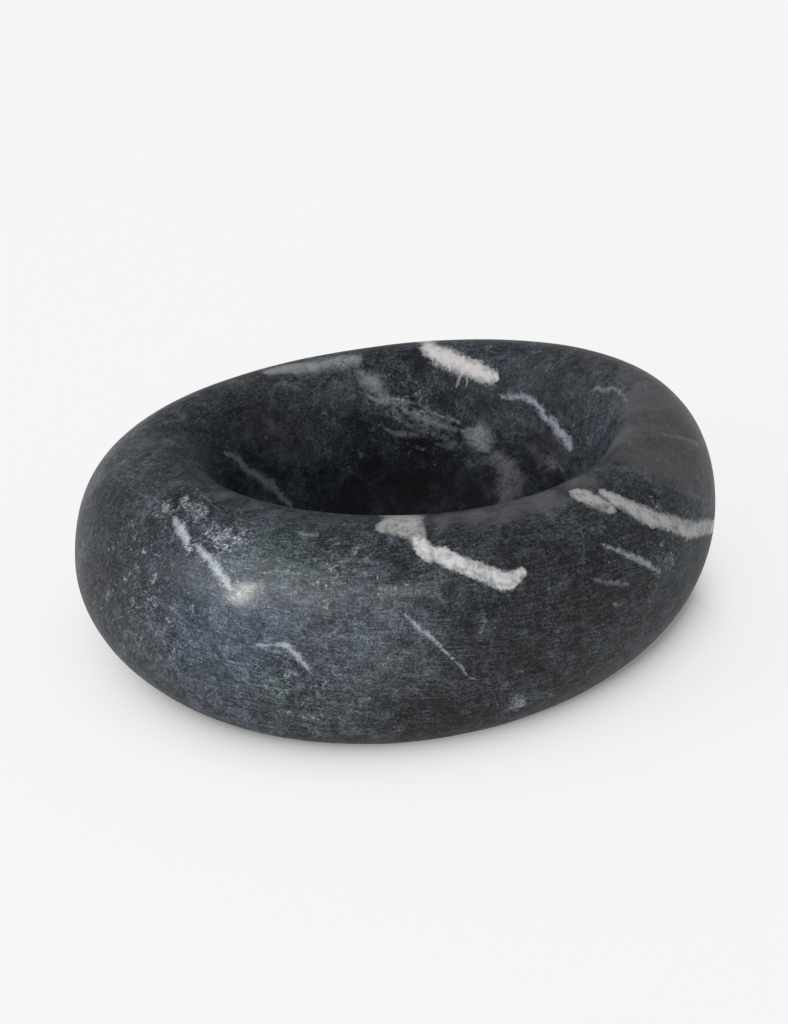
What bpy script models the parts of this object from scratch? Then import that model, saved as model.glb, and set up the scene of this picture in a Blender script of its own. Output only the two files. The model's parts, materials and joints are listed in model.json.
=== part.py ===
"""A bowl carved from one block of dark marble, standing on four self-adhesive felt pads.

The stone is a thick egg-shaped ring with a deep hollow. It leans: its rim and the widest line of its belly
both stand higher on one side. The X axis runs along its length, and the origin is on the table under its middle.

The section through the wall, from the middle of the underside to the middle of the hollow, passes five places:
the edge of the flat foot, the belly (the widest line), the crest of the rim, the throat (the upright stretch
inside the rim) and the floor of the hollow. Each place but the last is an egg-shaped ring. The foot and the
crest are set in from the belly and the throat from the crest, by a distance of its own on each side, and
quarter curves join each ring to the next.
"""

import math
from collections import namedtuple

import bmesh
import bpy
from mathutils import Vector

# Sizes are in metres.
LENGTH = 0.305
WIDTH = 0.245
# Above the table, at the rim's high side.
HEIGHT = 0.125

# The side that the stone rises towards, as an angle from +X, and the share of the half length by which its
# widest place sits towards +X.
LEAN_DEGREES = 20
EGG_SHARE = 0.11

# How much lower the low side is than the high side, at the crest, the throat and the belly.
RIM_FALL = 0.025
THROAT_FALL = 0.012
BELLY_FALL = 0.035
# The middle height of the belly, above the table.
BELLY_HEIGHT = 0.059

# How far the rim's crest is set in from the belly on each side.
SHOULDER_RIGHT = 0.0335
SHOULDER_LEFT = 0.0465
SHOULDER_BACK = 0.027
SHOULDER_FRONT = 0.036

# How far the throat is set in from the crest on each side, and how far below the crest it lies.
LIP_RIGHT = 0.023
LIP_LEFT = 0.024
LIP_BACK = 0.020
LIP_FRONT = 0.0235
LIP_DEPTH = 0.040

# How far the edge of the flat foot is set in from the belly on each side.
UNDERCUT_RIGHT = 0.104
UNDERCUT_LEFT = 0.041
UNDERCUT_BACK = 0.0565
UNDERCUT_FRONT = 0.0185

# The stone left under the middle of the hollow.
FLOOR_THICKNESS = 0.018

# 2 is a quarter of an ellipse, and more is a fuller, squarer curve.
UNDERSIDE_FULLNESS = 2.1
SHOULDER_FULLNESS = 2.2
LIP_FULLNESS = 2.0
HOLLOW_FULLNESS = 2.8

# The felt pads, and the glue film between each pad and the stone.
PAD_DIAMETER = 0.019
PAD_THICKNESS = 0.002
PAD_EDGE = 0.0003
GLUE_FILM = 0.0003
# The place of a pad between the middle of the foot and its edge.
PAD_PLACE_SHARE = 0.82
PAD_DEGREES = {"front_right": -40, "back_right": 40, "back_left": 140, "front_left": 220}

# Facets round the stone, and rows of facets along each stretch of the section.
COLUMNS = 72
FOOT_ROWS = 4
UNDERSIDE_ROWS = 10
SHOULDER_ROWS = 9
LIP_ROWS = 8
HOLLOW_ROWS = 11
PAD_SIDES = 48

FOOT_EDGE_ROW = FOOT_ROWS
BELLY_ROW = FOOT_EDGE_ROW + UNDERSIDE_ROWS
CREST_ROW = BELLY_ROW + SHOULDER_ROWS
THROAT_ROW = CREST_ROW + LIP_ROWS
FLOOR_ROW = THROAT_ROW + HOLLOW_ROWS

STONE_COLOUR = (0.030, 0.036, 0.040, 1.0)
STONE_ROUGHNESS = 0.4
FELT_COLOUR = (0.022, 0.022, 0.024, 1.0)
FELT_ROUGHNESS = 0.95

Ring = namedtuple("Ring", "x y half_length half_width height half_fall")


def set_in(ring, right, left, back, front, height, fall):
    """The ring that lies inside this one by a distance on each side, at a middle height of its own."""
    return Ring(
        x=ring.x + (left - right) / 2,
        y=ring.y + (front - back) / 2,
        half_length=ring.half_length - (left + right) / 2,
        half_width=ring.half_width - (front + back) / 2,
        height=height,
        half_fall=fall / 2,
    )


def ring_point(ring, turn):
    """The point of an egg-shaped, leaning ring at an angle, in radians from +X."""
    egg = math.cos(turn) + EGG_SHARE * math.sin(turn) ** 2
    rise = math.cos(turn - math.radians(LEAN_DEGREES))
    return Vector((
        ring.x + ring.half_length * egg,
        ring.y + ring.half_width * math.sin(turn),
        ring.height + ring.half_fall * rise,
    ))


def quarter_curve(start, end, share, fullness, leaves_level):
    """The point at a share of the way along the quarter curve from start to end.

    The curve leaves start level and meets end upright, or leaves start upright and meets end level.
    """
    angle = share * math.pi / 2
    quick = math.sin(angle) ** (2 / fullness)
    slow = 1 - math.cos(angle) ** (2 / fullness)
    across, up = (quick, slow) if leaves_level else (slow, quick)
    flat = start.lerp(end, across)
    return Vector((flat.x, flat.y, start.z + (end.z - start.z) * up))


UNDERSIDE_HEIGHT = PAD_THICKNESS + GLUE_FILM
RIM_HEIGHT = HEIGHT - RIM_FALL / 2

BELLY = Ring(0, 0, LENGTH / 2, WIDTH / 2, BELLY_HEIGHT, BELLY_FALL / 2)
FOOT = set_in(BELLY, UNDERCUT_RIGHT, UNDERCUT_LEFT, UNDERCUT_BACK, UNDERCUT_FRONT, UNDERSIDE_HEIGHT, 0)
CREST = set_in(BELLY, SHOULDER_RIGHT, SHOULDER_LEFT, SHOULDER_BACK, SHOULDER_FRONT, RIM_HEIGHT, RIM_FALL)
THROAT = set_in(CREST, LIP_RIGHT, LIP_LEFT, LIP_BACK, LIP_FRONT, RIM_HEIGHT - LIP_DEPTH, THROAT_FALL)
FOOT_MIDDLE = Vector((FOOT.x, FOOT.y, UNDERSIDE_HEIGHT))
FLOOR_MIDDLE = Vector((THROAT.x, THROAT.y, UNDERSIDE_HEIGHT + FLOOR_THICKNESS))


def stone_point(row, turn):
    """The point of the stone's surface on a row, counted from the middle of the underside."""
    foot, belly = ring_point(FOOT, turn), ring_point(BELLY, turn)
    crest, throat = ring_point(CREST, turn), ring_point(THROAT, turn)
    if row <= FOOT_EDGE_ROW:
        return FOOT_MIDDLE.lerp(foot, row / FOOT_ROWS)
    if row <= BELLY_ROW:
        share = (row - FOOT_EDGE_ROW) / UNDERSIDE_ROWS
        return quarter_curve(foot, belly, share, UNDERSIDE_FULLNESS, leaves_level=True)
    if row <= CREST_ROW:
        share = (row - BELLY_ROW) / SHOULDER_ROWS
        return quarter_curve(belly, crest, share, SHOULDER_FULLNESS, leaves_level=False)
    if row <= THROAT_ROW:
        share = (row - CREST_ROW) / LIP_ROWS
        return quarter_curve(crest, throat, share, LIP_FULLNESS, leaves_level=True)
    share = (row - THROAT_ROW) / HOLLOW_ROWS
    return quarter_curve(throat, FLOOR_MIDDLE, share, HOLLOW_FULLNESS, leaves_level=False)


def make_material(name, colour, roughness):
    material = bpy.data.materials.new(name)
    material.use_nodes = True
    shader = material.node_tree.nodes["Principled BSDF"]
    shader.inputs["Base Color"].default_value = colour
    shader.inputs["Roughness"].default_value = roughness
    shader.inputs["Metallic"].default_value = 0
    return material


def make_stone(collection, material):
    """The carved bowl: a unit sphere's rows and columns, each moved to its place along the section."""
    mesh = bpy.data.meshes.new("bowl")
    ball = bmesh.new()
    bmesh.ops.create_uvsphere(ball, u_segments=COLUMNS, v_segments=FLOOR_ROW, radius=1)
    for vertex in ball.verts:
        from_bottom = math.acos(max(-1, min(1, -vertex.co.z))) / math.pi
        row = round(from_bottom * FLOOR_ROW)
        vertex.co = stone_point(row, math.atan2(vertex.co.y, vertex.co.x))
    ball.to_mesh(mesh)
    ball.free()
    mesh.shade_smooth()
    mesh.materials.append(material)
    bowl = bpy.data.objects.new("bowl", mesh)
    collection.objects.link(bowl)
    return bowl


def make_pad(collection, material, place, turn):
    """A felt disc glued under the flat foot, its underside on the table."""
    edge = ring_point(FOOT, turn)
    middle = FOOT_MIDDLE.lerp(edge, PAD_PLACE_SHARE)
    bpy.ops.mesh.primitive_cylinder_add(
        vertices=PAD_SIDES,
        radius=PAD_DIAMETER / 2,
        depth=PAD_THICKNESS,
        location=(middle.x, middle.y, PAD_THICKNESS / 2),
    )
    pad = bpy.context.object
    pad.name = "felt_pad_" + place
    pad.data.materials.append(material)
    bevel = pad.modifiers.new("worn edge", "BEVEL")
    bevel.width = PAD_EDGE
    bevel.segments = 1
    for other in list(pad.users_collection):
        other.objects.unlink(pad)
    collection.objects.link(pad)
    return pad


def main():
    for old in list(bpy.data.objects):
        bpy.data.objects.remove(old)
    collection = bpy.data.collections.new("marble bowl")
    bpy.context.scene.collection.children.link(collection)
    marble = make_material("honed dark marble", STONE_COLOUR, STONE_ROUGHNESS)
    felt = make_material("charcoal felt", FELT_COLOUR, FELT_ROUGHNESS)
    make_stone(collection, marble)
    for place, degrees in PAD_DEGREES.items():
        make_pad(collection, felt, place, math.radians(degrees))


main()
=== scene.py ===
# %% [markdown]
# # A bowl carved from dark marble
#
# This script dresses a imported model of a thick, lopsided stone bowl for a studio picture. The model gives
# the exact form in metres, with Z up and the table at zero. What is missing is the stone itself: its fine
# surface, its white veins, its mottled blue-green ground and the marks of hand sanding. Each step below
# adds one of them.

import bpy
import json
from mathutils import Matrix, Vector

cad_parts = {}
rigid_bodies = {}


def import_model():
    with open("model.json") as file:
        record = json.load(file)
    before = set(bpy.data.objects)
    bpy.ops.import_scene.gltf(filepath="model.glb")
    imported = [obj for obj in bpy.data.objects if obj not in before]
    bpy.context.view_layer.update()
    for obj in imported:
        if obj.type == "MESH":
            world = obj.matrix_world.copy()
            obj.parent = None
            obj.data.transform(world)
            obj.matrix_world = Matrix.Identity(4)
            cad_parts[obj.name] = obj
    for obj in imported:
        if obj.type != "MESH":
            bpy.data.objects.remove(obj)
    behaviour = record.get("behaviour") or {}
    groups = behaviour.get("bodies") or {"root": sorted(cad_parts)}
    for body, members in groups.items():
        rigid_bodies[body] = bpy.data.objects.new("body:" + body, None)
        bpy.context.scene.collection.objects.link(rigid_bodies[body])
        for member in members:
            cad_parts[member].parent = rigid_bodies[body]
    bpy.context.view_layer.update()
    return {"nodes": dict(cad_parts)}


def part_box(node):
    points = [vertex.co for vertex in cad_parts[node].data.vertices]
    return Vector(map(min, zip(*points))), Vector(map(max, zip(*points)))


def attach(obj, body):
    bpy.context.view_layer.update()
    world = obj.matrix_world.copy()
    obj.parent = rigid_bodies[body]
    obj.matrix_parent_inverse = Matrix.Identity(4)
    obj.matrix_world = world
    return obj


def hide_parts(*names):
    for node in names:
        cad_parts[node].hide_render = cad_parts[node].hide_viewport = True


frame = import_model()
print("packed nodes:", sorted(frame["nodes"]))

# %% [markdown]
# ## Camera
#
# The photograph was taken from slightly right of the front and from about 26 degrees above the table, with
# a long lens, so the rim's ellipse hardly converges. The camera stands 1.4 m from a point in the bowl's
# middle. Its lens is worked out from the picture's height in pixels, because later steps trace veins in
# those pixels.

# %% Camera
import json
import math

import bmesh
import bpy
import numpy as np
from mathutils import Vector
from mathutils.bvhtree import BVHTree

PICTURE_WIDTH, PICTURE_HEIGHT = 788, 1024
EYE_DISTANCE = 1.4
EYE_AZIMUTH, EYE_ELEVATION = 8.18, 26.0
# The length of the lens in pixels of the picture.
LENS_PIXELS = 2945
SENSOR_MM = 36
# The point of the bowl that every eye aims at, and how far the camera is raised from there to frame it.
AIM = Vector((0.0014, 0, 0.0523))
AIM_RAISED = 0.01435


def direction(azimuth, elevation):
    """The way from the bowl to a point of view or a lamp. Azimuth 0 is the front, and 90 the right."""
    turn, rise = math.radians(azimuth), math.radians(elevation)
    return Vector((math.sin(turn) * math.cos(rise), -math.cos(turn) * math.cos(rise), math.sin(rise)))


class Eye:
    """A point of view, which turns a pixel of its picture into a line of sight."""

    def __init__(self, azimuth, elevation, raised=0.0):
        turn = math.radians(azimuth)
        self.back = direction(azimuth, elevation)
        self.right = Vector((math.cos(turn), math.sin(turn), 0))
        self.up = self.back.cross(self.right)
        self.place = AIM + self.up * raised + self.back * EYE_DISTANCE

    def sight(self, x, y):
        """The direction in which this eye sees a pixel."""
        across = self.right * (x - PICTURE_WIDTH / 2)
        down = self.up * (y - PICTURE_HEIGHT / 2)
        return (across - down - self.back * LENS_PIXELS).normalized()


photo_eye = Eye(EYE_AZIMUTH, EYE_ELEVATION, AIM_RAISED)
camera_data = bpy.data.cameras.new("studio_camera")
camera_data.lens = LENS_PIXELS * SENSOR_MM / PICTURE_HEIGHT
camera_data.sensor_width = SENSOR_MM
camera = bpy.data.objects.new("studio_camera", camera_data)
camera.location = photo_eye.place
camera.rotation_euler = photo_eye.back.to_track_quat("Z", "Y").to_euler()
bpy.context.scene.collection.objects.link(camera)
bpy.context.scene.camera = camera
print(f"lens {camera_data.lens:.1f} mm at {EYE_DISTANCE} m")

# %% [markdown]
# ## Shader sums
#
# A stone's colour is worked out from many small sums on noise. Written as nodes one by one they can't be
# read, so one small class wraps a socket: adding or multiplying two of them adds a Math node. Everything
# that isn't a sum on numbers comes from its one method `node`.

# %% Shader sums
class Shade:
    """A socket in a material's node tree. Sums on it are written as in Python."""

    def __init__(self, tree, socket=None):
        self.tree = tree
        self.socket = socket

    def node(self, kind, settings=None, sockets=None, out=0):
        """Adds any node: its settings first, then the values or links of its sockets."""
        made = self.tree.nodes.new(kind)
        for name, value in (settings or {}).items():
            if name == "stops":
                while len(made.color_ramp.elements) < len(value):
                    made.color_ramp.elements.new(0.5)
                for element, (place, colour) in zip(made.color_ramp.elements, value):
                    element.position = place
                    element.color = colour
            else:
                setattr(made, name, value)
        for name, value in (sockets or {}).items():
            if isinstance(value, Shade):
                self.tree.links.new(value.socket, made.inputs[name])
            else:
                made.inputs[name].default_value = value
        return Shade(self.tree, made.outputs[out])

    def sum(self, operation, *values):
        """Adds a Math node."""
        return self.node("ShaderNodeMath", {"operation": operation}, dict(enumerate(values)))

    def __add__(self, other):
        return self.sum("ADD", self, other)

    def __sub__(self, other):
        return self.sum("SUBTRACT", self, other)

    def __rsub__(self, other):
        return self.sum("SUBTRACT", other, self)

    def __mul__(self, other):
        return self.sum("MULTIPLY", self, other)

    __radd__ = __add__
    __rmul__ = __mul__

    def size(self):
        """The number without its sign."""
        return self.sum("ABSOLUTE", self)

    def least(self, other):
        """The smaller of two numbers."""
        return self.sum("MINIMUM", self, other)

    def most(self, other):
        """The larger of two numbers."""
        return self.sum("MAXIMUM", self, other)

    def step(self, low, high):
        """A soft step: 0 below low, 1 above high."""
        return self.node(
            "ShaderNodeMapRange",
            {"interpolation_type": "SMOOTHSTEP"},
            {"Value": self, "From Min": low, "From Max": high},
        )

    def between(self, low, high):
        """Blends two colours, with this number as the share of the second."""
        return self.node("ShaderNodeMix", {"data_type": "RGBA"}, {0: self, 6: low, 7: high}, out=2)

    def times(self, tint):
        """A colour multiplied by another."""
        settings = {"data_type": "RGBA", "blend_type": "MULTIPLY"}
        return self.node("ShaderNodeMix", settings, {0: 1.0, 6: self, 7: tint}, out=2)


# %% [markdown]
# ## The floor
#
# The bowl stands on a plain pale floor that fills the picture as one even tone, with a soft, weak shadow
# close to the stone. A floor that is only lit is never that even. So in the camera's own view it mostly
# glows by itself, which the lamps can't change, and the glow dims near two ovals into a painted shadow:
# one where the shadow lies and one round the bowl. It keeps a little colour there too, on which the lamps
# cast the real shadow.
# Everything else, such as the light that the floor throws up on to the stone, meets a plain pale floor.

# %% The floor
FLOOR_SIZE = 30
# As pale as a screen value of 246 out of 255.
FLOOR_LEVEL = ((246 / 255 + 0.055) / 1.055) ** 2.4
FLOOR_TONE = (FLOOR_LEVEL,) * 3 + (1,)
FLOOR_GLOW = (0.807, 0.807, 0.807, 1)
FLOOR_CAMERA_TONE = (0.185, 0.185, 0.185, 1)
FLOOR_ROUGHNESS = 0.9
NO_GLOW = (0, 0, 0, 1)
# How deeply the painted shadow dims the floor's glow.
PAINTED_SHADOW_STRENGTH = 0.76
# Two ovals of the painted shadow on the floor: middle, half length, half width, turn in degrees, and the
# length in which it falls off beyond them. The first is the soft shadow, and the second keeps it near the
# bowl.
SHADOW_OVAL = ((0.0069, 0.0600), 0.1664, 0.1289, 67.7, 0.0112)
BOWL_OVAL = ((0.0, 0.0), 0.1625, 0.1325, 0.0, 0.030)


def make_material(name):
    """A material with only a Principled shader, and the wrapper that fills it."""
    material = bpy.data.materials.new(name)
    material.use_nodes = True
    shader = material.node_tree.nodes["Principled BSDF"]
    return material, shader, Shade(material.node_tree)


def near_oval(shade, place, middle, half_length, half_width, degrees, falloff):
    """1 inside an oval on the floor, and less the farther outside it."""
    shares = shade.node("ShaderNodeMapping", {"vector_type": "TEXTURE"}, {
        "Vector": place,
        "Location": (*middle, 0),
        "Rotation": (0, 0, math.radians(degrees)),
        "Scale": (half_length, half_width, 1),
    })
    radius = shade.node("ShaderNodeVectorMath", {"operation": "LENGTH"}, {0: shares}, out="Value")
    beyond = (radius - 1) * ((half_length + half_width) / 2)
    return shade.sum("EXPONENT", beyond * (-1 / falloff)).least(1)


def make_floor():
    """The floor, which belongs to the studio and not to the bowl."""
    bpy.ops.object.select_all(action="DESELECT")
    bpy.ops.mesh.primitive_plane_add(size=FLOOR_SIZE)
    floor = bpy.context.object
    floor.name = "studio_floor"
    material, shader, shade = make_material("pale studio floor")
    is_camera = shade.node("ShaderNodeLightPath", out="Is Camera Ray")
    place = shade.node("ShaderNodeTexCoord", out="Object")
    # A painted shadow: the camera's glow of the floor is dimmed near the two ovals.
    painted_shadow = near_oval(shade, place, *SHADOW_OVAL) * near_oval(shade, place, *BOWL_OVAL) * PAINTED_SHADOW_STRENGTH
    glow = is_camera * (1 - painted_shadow)
    links = material.node_tree.links
    links.new(is_camera.between(FLOOR_TONE, FLOOR_CAMERA_TONE).socket, shader.inputs["Base Color"])
    links.new(glow.between(NO_GLOW, FLOOR_GLOW).socket, shader.inputs["Emission Color"])
    shader.inputs["Emission Strength"].default_value = 1
    shader.inputs["Roughness"].default_value = FLOOR_ROUGHNESS
    shader.inputs["Specular IOR Level"].default_value = 0
    floor.data.materials.append(material)


make_floor()
bpy.context.scene.view_settings.view_transform = "Standard"
print("floor tone:", round(FLOOR_LEVEL, 3))

# %% [markdown]
# ## The light
#
# Soft light falls from the left, low enough to leave the left half of the hollow in the dark, and a dim sky
# fills the rest. Both softboxes are suns, because a sun's light doesn't fall off, so the wide floor stays
# even, and a sun can be as large and soft as a lamp in a softbox. The small warm glint on the front left of
# the stone is the picture of a third lamp, a tall and narrow strip. The sky is pale in the camera's view
# and dim for the stone, so that it doesn't wash out the dark hollow.

# %% The light
SKY_TONE = (1, 1, 1, 1)
SKY_STRENGTH = 0.45
SUN_DISTANCE = 3
# For each sun: azimuth, elevation and width in degrees, strength and colour.
SUNS = {
    "wide_softbox": (-50, 12, 50, 1.42, (1.0, 1.0, 1.0)),
    "front_softbox": (-11, 21, 14, 0.30, (1.0, 0.97, 0.94)),
}
STRIP_AZIMUTH, STRIP_ELEVATION, STRIP_DISTANCE = -48.5, 7.2, 1.6
STRIP_WIDTH, STRIP_HEIGHT, STRIP_WATTS = 0.03, 0.46, 6.6
STRIP_COLOUR = (1.0, 0.95, 0.90)


def make_lamp(name, kind, azimuth, elevation, distance, strength, colour):
    """A lamp that shines on the bowl from a direction."""
    towards = direction(azimuth, elevation)
    light = bpy.data.lights.new(name, kind)
    light.energy = strength
    light.color = colour
    lamp = bpy.data.objects.new(name, light)
    lamp.location = AIM + towards * distance
    lamp.rotation_euler = towards.to_track_quat("Z", "Y").to_euler()
    lamp.visible_camera = False
    bpy.context.scene.collection.objects.link(lamp)
    return light


def make_sky():
    """A sky that is pale in the camera's view and dim for the stone."""
    world = bpy.data.worlds.new("studio_sky")
    bpy.context.scene.world = world
    world.use_nodes = True
    background = world.node_tree.nodes["Background"]
    shade = Shade(world.node_tree)
    is_camera = shade.node("ShaderNodeLightPath", out="Is Camera Ray")
    strength = is_camera * (FLOOR_TONE[0] - SKY_STRENGTH) + SKY_STRENGTH
    background.inputs["Color"].default_value = SKY_TONE
    world.node_tree.links.new(strength.socket, background.inputs["Strength"])


make_sky()
for sun_name, (azimuth, elevation, width, strength, colour) in SUNS.items():
    sun = make_lamp(sun_name, "SUN", azimuth, elevation, SUN_DISTANCE, strength, colour)
    sun.angle = math.radians(width)
strip = make_lamp(
    "strip_lamp", "AREA", STRIP_AZIMUTH, STRIP_ELEVATION, STRIP_DISTANCE, STRIP_WATTS, STRIP_COLOUR)
strip.shape = "RECTANGLE"
strip.size, strip.size_y = STRIP_WIDTH, STRIP_HEIGHT
print("lamps:", ", ".join(SUNS), "and a strip")

# %% [markdown]
# ## The carved stone
#
# The bowl is one block, turned and ground by hand, so nothing on it is sharp. It could be sculpted from a
# sphere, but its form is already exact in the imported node. So the piece starts as a copy of that node. The
# copy's loose triangles are merged and paired into squares, the fan of thin triangles in the middle of the
# hollow is replaced by a grid, and the squares are subdivided smooth.

# %% The carved stone
MERGE_DISTANCE = 1e-6
SUBDIVISIONS = 2
# The grid in the hollow has a quarter of the fan's faces along each of its sides.
GRID_SIDES = 4


def only_select(piece):
    """Makes a piece the active one and the only one that is selected."""
    bpy.ops.object.select_all(action="DESELECT")
    piece.select_set(True)
    bpy.context.view_layer.objects.active = piece


def apply_modifier(piece, kind, **settings):
    """Adds a modifier by its type, sets it and applies it."""
    modifier = piece.modifiers.new(kind.title(), kind)
    for name, value in settings.items():
        setattr(modifier, name, value)
    only_select(piece)
    bpy.ops.object.modifier_apply(modifier=modifier.name)


def select_hub(piece, foot_height):
    """Selects the point in the middle of the hollow's floor, and says how many faces meet there."""
    mesh = bmesh.from_edit_mesh(piece.data)
    above = [vertex for vertex in mesh.verts if vertex.co.z > foot_height + MERGE_DISTANCE]
    hub = max(above, key=lambda vertex: len(vertex.link_faces))
    hub.select_set(True)
    bmesh.update_edit_mesh(piece.data)
    return len(hub.link_faces)


def make_stone(node):
    """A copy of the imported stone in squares, and how many faces met in the hollow's middle."""
    only_select(node)
    bpy.ops.object.duplicate()
    stone = bpy.context.object
    stone.name = "carved_bowl"
    stone.data.name = "carved_bowl"
    # The copy drops the marks by which the frame knows its own node.
    for key in [key for key in stone.keys() if key.startswith("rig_")]:
        del stone[key]
    bpy.ops.object.parent_clear(type="CLEAR_KEEP_TRANSFORM")
    bpy.ops.object.mode_set(mode="EDIT")
    bpy.ops.mesh.select_all(action="SELECT")
    bpy.ops.mesh.remove_doubles(threshold=MERGE_DISTANCE)
    bpy.ops.mesh.tris_convert_to_quads()
    bpy.ops.mesh.select_mode(type="VERT")
    bpy.ops.mesh.select_all(action="DESELECT")
    fan = select_hub(stone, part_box("bowl")[0].z)
    bpy.ops.mesh.delete(type="VERT")
    bpy.ops.mesh.select_mode(type="EDGE")
    bpy.ops.mesh.select_non_manifold(extend=False)
    bpy.ops.mesh.fill_grid(span=fan // GRID_SIDES)
    bpy.ops.mesh.select_all(action="SELECT")
    bpy.ops.mesh.normals_make_consistent(inside=False)
    bpy.ops.object.mode_set(mode="OBJECT")
    return stone, fan


stone, fan_faces = make_stone(frame["nodes"]["bowl"])
apply_modifier(stone, "SUBSURF", levels=SUBDIVISIONS, render_levels=SUBDIVISIONS)
print("fan of", fan_faces, "faces replaced;", len(stone.data.polygons), "faces")

# %% [markdown]
# ## Waves left by the hand pad
#
# Honing by hand leaves long, shallow waves, which show only where light grazes the stone. They could be
# painted as bump, but then the outline and the glint would stay perfect. So a very slight displacement
# moves the fine mesh itself. The foot was ground flat on a plate, so its points don't sink below the node's
# flat.

# %% Waves left by the hand pad
WAVE_LENGTH = 0.03
WAVE_HEIGHT = 0.0004

wave = bpy.data.textures.new("hand_pad_waves", "CLOUDS")
wave.noise_scale = WAVE_LENGTH
wave.noise_depth = 1
apply_modifier(stone, "DISPLACE", texture=wave, texture_coords="LOCAL", strength=WAVE_HEIGHT, mid_level=0.5)
only_select(stone)
bpy.ops.object.shade_smooth()
foot_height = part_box("bowl")[0].z
for vertex in stone.data.vertices:
    vertex.co.z = max(vertex.co.z, foot_height)
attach(stone, "root")
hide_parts("bowl")
print("size of the stone, mm:", [round(v * 1000, 1) for v in stone.dimensions])

# %% [markdown]
# ## Directions on the stone
#
# Sanding marks and mineral fibres follow the surface, so they need two coordinates that run along it: one
# round the bowl and one up its section. The bowl is close to a ring, so the angle round its middle gives
# the first and the angle round the ring's core gives the second. Both are turned into metres and kept as a
# UV map, because a map holds a value for each corner of a face, and so it can jump where the round trip
# ends.

# %% Directions on the stone
CORE_LENGTH_SHARE, CORE_WIDTH_SHARE, CORE_HEIGHT = 0.78, 0.76, 0.060
ROUND_RADIUS = 0.110
SECTION_RADIUS = 0.045
# The section's angle starts in the middle of the foot and ends in the middle of the hollow's floor.
SECTION_START = math.radians(-152)
# What lies this far inside the ring's core and above this height is the hollow, so the angle never jumps.
HOLLOW_INSET = 0.018
PARTING_HEIGHT = 0.011


def directions(points):
    """The angle round the bowl and the angle round the ring's core of each point."""
    low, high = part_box("bowl")
    middle = (low + high) / 2
    core = (high - low) / 2
    x = (points[:, 0] - middle.x) / (core.x * CORE_LENGTH_SHARE)
    y = (points[:, 1] - middle.y) / (core.y * CORE_WIDTH_SHARE)
    outwards = (np.hypot(x, y) - 1) * ROUND_RADIUS
    turn = np.arctan2(x, y)
    section = np.arctan2(points[:, 2] - CORE_HEIGHT, outwards)
    in_hollow = (outwards < -HOLLOW_INSET) & (section < 0) & (points[:, 2] > PARTING_HEIGHT)
    return turn, section + 2 * np.pi * in_hollow - SECTION_START


def mesh_numbers(items, name, width=1, kind=np.float32):
    """A property of many mesh items, as an array."""
    values = np.empty(len(items) * width, dtype=kind)
    items.foreach_get(name, values)
    return values.reshape(-1, width) if width > 1 else values


def add_direction_map(piece):
    """Stores the two directions, in metres, as a UV map. The corners of a face stay on one turn."""
    mesh = piece.data
    turn, section = directions(mesh_numbers(mesh.vertices, "co", 3))
    corners = mesh_numbers(mesh.loops, "vertex_index", kind=np.int32)
    starts = mesh_numbers(mesh.polygons, "loop_start", kind=np.int32)
    counts = mesh_numbers(mesh.polygons, "loop_total", kind=np.int32)
    corner_turn = turn[corners]
    first = np.repeat(corner_turn[starts], counts)
    corner_turn += 2 * np.pi * np.round((first - corner_turn) / (2 * np.pi))
    where = np.stack([corner_turn * ROUND_RADIUS, section[corners] * SECTION_RADIUS], -1)
    layer = mesh.uv_layers.new(name="directions")
    layer.data.foreach_set("uv", where.astype(np.float32).ravel())


add_direction_map(stone)
print("corners mapped:", len(stone.data.loops))

# %% [markdown]
# ## Veins
#
# The white marks are calcite that filled cracks in the dark stone. Noise can't put them in the right
# places, so each vein is drawn as a line of points with half a width, in pixels of the photograph.
# A vein also has a strength, and a tone that later picks its colour from a ramp and says how loose its
# crystals are.

# %% Veins that the photograph shows
# The tones of a vein, from 0 to 1 along a ramp of colours.
CALCITE, GREY_CALCITE, WARM_CALCITE, BLUE_CALCITE, LILAC, SMOKE, UMBER = 0.0, 0.1, 0.2, 0.4, 0.6, 0.8, 1.0
# Tones between those, from white towards grey, and the two beside lilac.
BRIGHT_CALCITE, PALE_CALCITE, DULL_CALCITE, ASHEN_CALCITE = 0.018, 0.05, 0.06, 0.085
BLUE_LILAC, SMOKY_LILAC = 0.5, 0.7

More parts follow.
